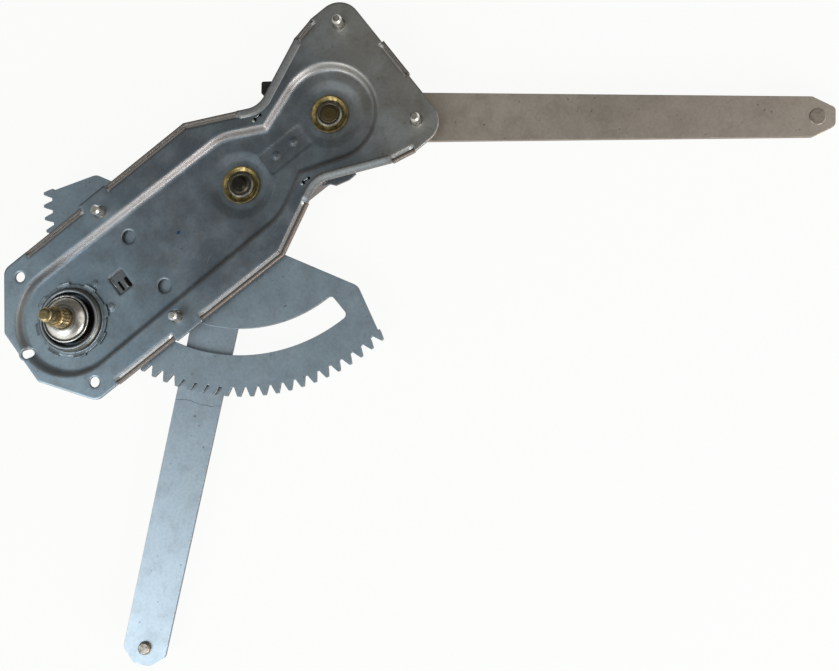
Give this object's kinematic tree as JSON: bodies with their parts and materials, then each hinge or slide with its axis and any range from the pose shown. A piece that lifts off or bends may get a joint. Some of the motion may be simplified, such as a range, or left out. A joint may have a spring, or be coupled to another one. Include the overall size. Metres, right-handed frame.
{
  "type": "window regulator",
  "caption": "Manual twin-arm car window regulator: stamped plate, braked crank and pinion, toothed sector, and two lift arms coupled by hub gears, with rollers at their ends.",
  "frame": {"origin": "where the crank's axis meets the plate's mounting face", "axes": "+X runs along the plate from the crank to the pivots, +Z points out of the mounting face on the crank side, +Y completes the right-handed set across the plate"},
  "size_m": [0.5261, 0.2762, 0.0543],
  "materials": {
    "plate_zinc": "zinc-plated pressing, satin, slightly dull",
    "stud_steel": "bright turned steel",
    "pin_steel": "staked steel with a rusty brown face",
    "yellow_zinc": "yellow passivated zinc",
    "washer_steel": "plain steel",
    "bridge_zinc": "zinc-plated pressing",
    "buffer_rubber": "moulded black rubber",
    "drum_zinc": "drawn cup, zinc plated",
    "bush_sintered": "oiled sintered bronze",
    "collar_zinc": "drawn and polished",
    "spring_steel": "oil-tempered wire",
    "gear_steel": "fine-blanked steel",
    "sector_zinc": "zinc-plated fine-blanked steel",
    "lower_arm_zinc": "zinc-plated strip, warm tint",
    "upper_arm_zinc": "zinc-plated strip, cool tint",
    "rivet_steel": "plain steel",
    "roller_nylon": "natural nylon"
  },
  "bodies": {
    "frame": {"base_plate": "plate_zinc", "mounting_studs": "stud_steel", "driven_pivot_pin": "pin_steel", "follower_pivot_pin": "pin_steel", "front_washers": "yellow_zinc", "rear_washers": "washer_steel", "gear_bridge": "bridge_zinc", "rubber_buffer": "buffer_rubber", "drum_housing": "drum_zinc", "bearing_bush": "bush_sintered"},
    "crank": {"crank_spindle": "yellow_zinc", "crank_collar": "collar_zinc", "brake_core": "washer_steel", "brake_spring": "spring_steel", "pinion": "gear_steel"},
    "driven_arm": {"sector_gear": "sector_zinc", "lower_arm": "lower_arm_zinc", "driven_hub_gear": "gear_steel", "driven_rivets": "rivet_steel", "lower_arm_bush": "bush_sintered", "lower_roller_stud": "pin_steel"},
    "follower_arm": {"upper_arm": "upper_arm_zinc", "follower_hub_gear": "gear_steel", "follower_spacer": "washer_steel", "follower_rivets": "rivet_steel", "upper_arm_bush": "bush_sintered", "upper_roller_stud": "pin_steel"},
    "lower_roller_body": {"lower_roller": "roller_nylon"},
    "upper_roller_body": {"upper_roller": "roller_nylon"}
  },
  "joints": [
    {"name": "sector_swing", "type": "hinge", "parent": "frame", "child": "driven_arm", "pos_m": [0.13375, 0, -0.0124], "axis": [0, 0, 1], "range_deg": [-88, 30]},
    {"name": "follower_swing", "type": "hinge", "parent": "frame", "child": "follower_arm", "pos_m": [0.2025, 0, -0.0124], "axis": [0, 0, 1], "range_deg": [-30, 88]},
    {"name": "crank_spin", "type": "hinge", "parent": "frame", "child": "crank", "pos_m": [0, 0, 0], "axis": [0, 0, 1], "range_deg": [-505.1, 1481.4]},
    {"name": "lower_roller_spin", "type": "hinge", "parent": "driven_arm", "child": "lower_roller_body", "pos_m": [-0.08222, -0.18642, -0.0181], "axis": [0, 0, 1], "continuous": true},
    {"name": "upper_roller_spin", "type": "hinge", "parent": "follower_arm", "child": "upper_roller_body", "pos_m": [0.42233, -0.18186, -0.0181], "axis": [0, 0, 1], "continuous": true}
  ],
  "couplings": [
    {"joint": "follower_swing", "follows": "sector_swing", "ratio": -1},
    {"joint": "crank_spin", "follows": "sector_swing", "ratio": -16.833}
  ]
}
